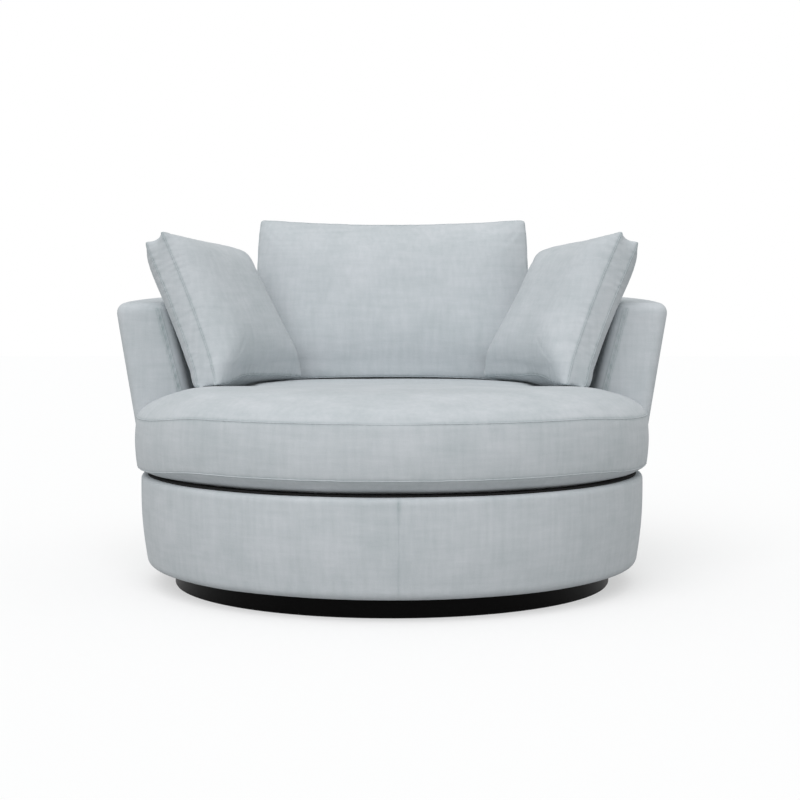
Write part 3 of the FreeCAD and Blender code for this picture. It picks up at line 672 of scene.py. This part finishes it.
def boxedCushion(name, node, body, turn, sizes, limp, neighbours):
    own = ownFrame(f"{node}_cover", turn)
    seams = [asPath(reshaped(boxedPath(f"{node}_cover", turn, end * sizes["border"] / 2), *own, limp))
             for end in (-1, 1)]
    cushion = skinOf(name, f"{node}_filling", [f"{node}_cover"], sizes["voxel"])
    setPoints(cushion, reshaped(pointsOf(cushion), *own, limp))
    swollen(cushion, seams, sizes["cap"], sizes["easing"])
    setPoints(cushion, sunk(pointsOf(cushion), seatTop, sizes["settle"]))
    seams = [asPath(sunk(path, seatTop, sizes["settle"])) for path in seams]
    keptClear(cushion, neighbours)
    applied(cushion, "SUBSURF", levels=1, render_levels=1)
    puckered(cushion, seams, sizes["pucker"])
    dressed(cushion, body)
    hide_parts(f"{node}_cover", f"{node}_filling", f"{node}_zip")
    for edge, path in zip(("front", "rear"), seams):
        seamLip(f"{node}_{edge}_seam", cushion, path, True, body, sizes["lip"])
    print(name, "made", len(cushion.data.polygons), "faces")
    return cushion


# Back cushion: its sides fill out between the corners

back = {"lean": 15, "border": 0.110, "voxel": 0.008, "cap": 0.012, "pucker": 0.0015, "settle": 0.045,
        "fill": 0.7, "lip": 0.0011, "easing": 60, "width": 0.68, "height": 0.412, "sideFill": 0.024}


def plumpBack(local):
    out = (np.abs(local[:, 0]) / (back["width"] / 2)) ** 3 * np.sign(local[:, 0])
    mid = np.clip(1 - (local[:, 2] / (back["height"] / 2)) ** 2, 0, 1)
    local[:, 0] += back["sideFill"] * out * mid
    return local


backCushion = boxedCushion("back_cushion_cover", "back", "back_cushion",
                           Matrix.Rotation(math.radians(-back["lean"]), 3, "X"), back, plumpBack,
                           [seatCushion, tubSkin])

# Pillows: each is turned a little more at its top than at its foot, and its far corner sags

pillow = {"turn": 65, "lean": 27, "border": 0.050, "voxel": 0.006, "cap": 0.010, "pucker": 0.0022,
          "settle": 0.045, "fill": 0.6, "lip": 0.0008, "easing": 130, "side": 0.370, "twist": 3.5,
          "farSag": 0.028, "sagFrom": 0.2}


def sagging(along):
    return np.clip((along / (pillow["side"] / 2) + pillow["sagFrom"]) / (1 + pillow["sagFrom"]), 0, 1) ** 2


def limpPillow(side):
    def limp(local):
        twist = -side * math.radians(pillow["twist"]) * local[:, 2] / (pillow["side"] / 2)
        across, through = local[:, 0].copy(), local[:, 1].copy()
        local[:, 0] = across * np.cos(twist) - through * np.sin(twist)
        local[:, 1] = across * np.sin(twist) + through * np.cos(twist)
        local[:, 2] -= pillow["farSag"] * sagging(-side * across) * sagging(local[:, 2])
        return local
    return limp


for side, label in ((-1, "left"), (1, "right")):
    heading = Matrix.Rotation(math.radians(-side * pillow["turn"]), 3, "Z")
    pillowTurn = heading @ Matrix.Rotation(math.radians(-pillow["lean"]), 3, "X")
    boxedCushion(f"{label}_pillow", f"{label}_pillow", f"pillow_{label}", pillowTurn, pillow,
                 limpPillow(side), [seatCushion, tubSkin, backCushion])

# Floor, background and light

stage = {"size": 40, "floorColour": (0.5, 0.5, 0.5, 1), "floorGlow": 0.505, "world": 0.6,
         "worldColour": (0.985, 1.0, 0.99, 1)}


def seenRay(tree):
    path = tree.nodes.new("ShaderNodeLightPath")
    either = tree.nodes.new("ShaderNodeMath")
    either.operation = "MAXIMUM"
    tree.links.new(path.outputs["Is Camera Ray"], either.inputs[0])
    tree.links.new(path.outputs["Is Glossy Ray"], either.inputs[1])
    return either.outputs[0]


def floorFinish():
    ground = Finish("floor_white")
    ground.set(Base_Color=stage["floorColour"], Roughness=0.9)
    ground.surface.inputs["Specular IOR Level"].default_value = 0
    seen = Value(ground, seenRay(ground.tree))
    light = ground.node("ShaderNodeEmission", {}, {"Color": (1, 1, 1, 1),
                                                   "Strength": seen * stage["floorGlow"]})
    both = ground.node("ShaderNodeAddShader", {}, {0: Value(ground, ground.surface.outputs[0]), 1: light})
    end = next(n for n in ground.tree.nodes if n.type == "OUTPUT_MATERIAL")
    ground.tree.links.new(both.socket, end.inputs["Surface"])
    return ground.material


bpy.ops.object.select_all(action="DESELECT")
bpy.ops.mesh.primitive_plane_add(size=stage["size"])
floor = bpy.context.active_object
floor.name = "floor"
floor.data.materials.append(floorFinish())

world = bpy.data.worlds.new("studio")
world.use_nodes = True
bpy.context.scene.world = world
tree = world.node_tree
ambient = next(n for n in tree.nodes if n.type == "BACKGROUND")
ambient.inputs["Color"].default_value = stage["worldColour"]
ambient.inputs["Strength"].default_value = stage["world"]
white = tree.nodes.new("ShaderNodeBackground")
white.inputs["Color"].default_value = (1, 1, 1, 1)
blend = tree.nodes.new("ShaderNodeMixShader")
tree.links.new(seenRay(tree), blend.inputs[0])
tree.links.new(ambient.outputs[0], blend.inputs[1])
tree.links.new(white.outputs[0], blend.inputs[2])
tree.links.new(blend.outputs[0], next(n for n in tree.nodes if n.type == "OUTPUT_WORLD").inputs[0])


def softSun(name, come, spread, strength, colour):
    lamp = bpy.data.lights.new(name, "SUN")
    lamp.angle = math.radians(spread)
    lamp.energy = strength
    lamp.color = colour
    sun = bpy.data.objects.new(name, lamp)
    sun.rotation_euler = Vector(come).to_track_quat("Z", "Y").to_euler()
    bpy.context.scene.collection.objects.link(sun)


softSun("key", (-0.16, -0.66, 0.73), 60, 1.62, (0.99, 0.98, 1.0))
print("stage set")
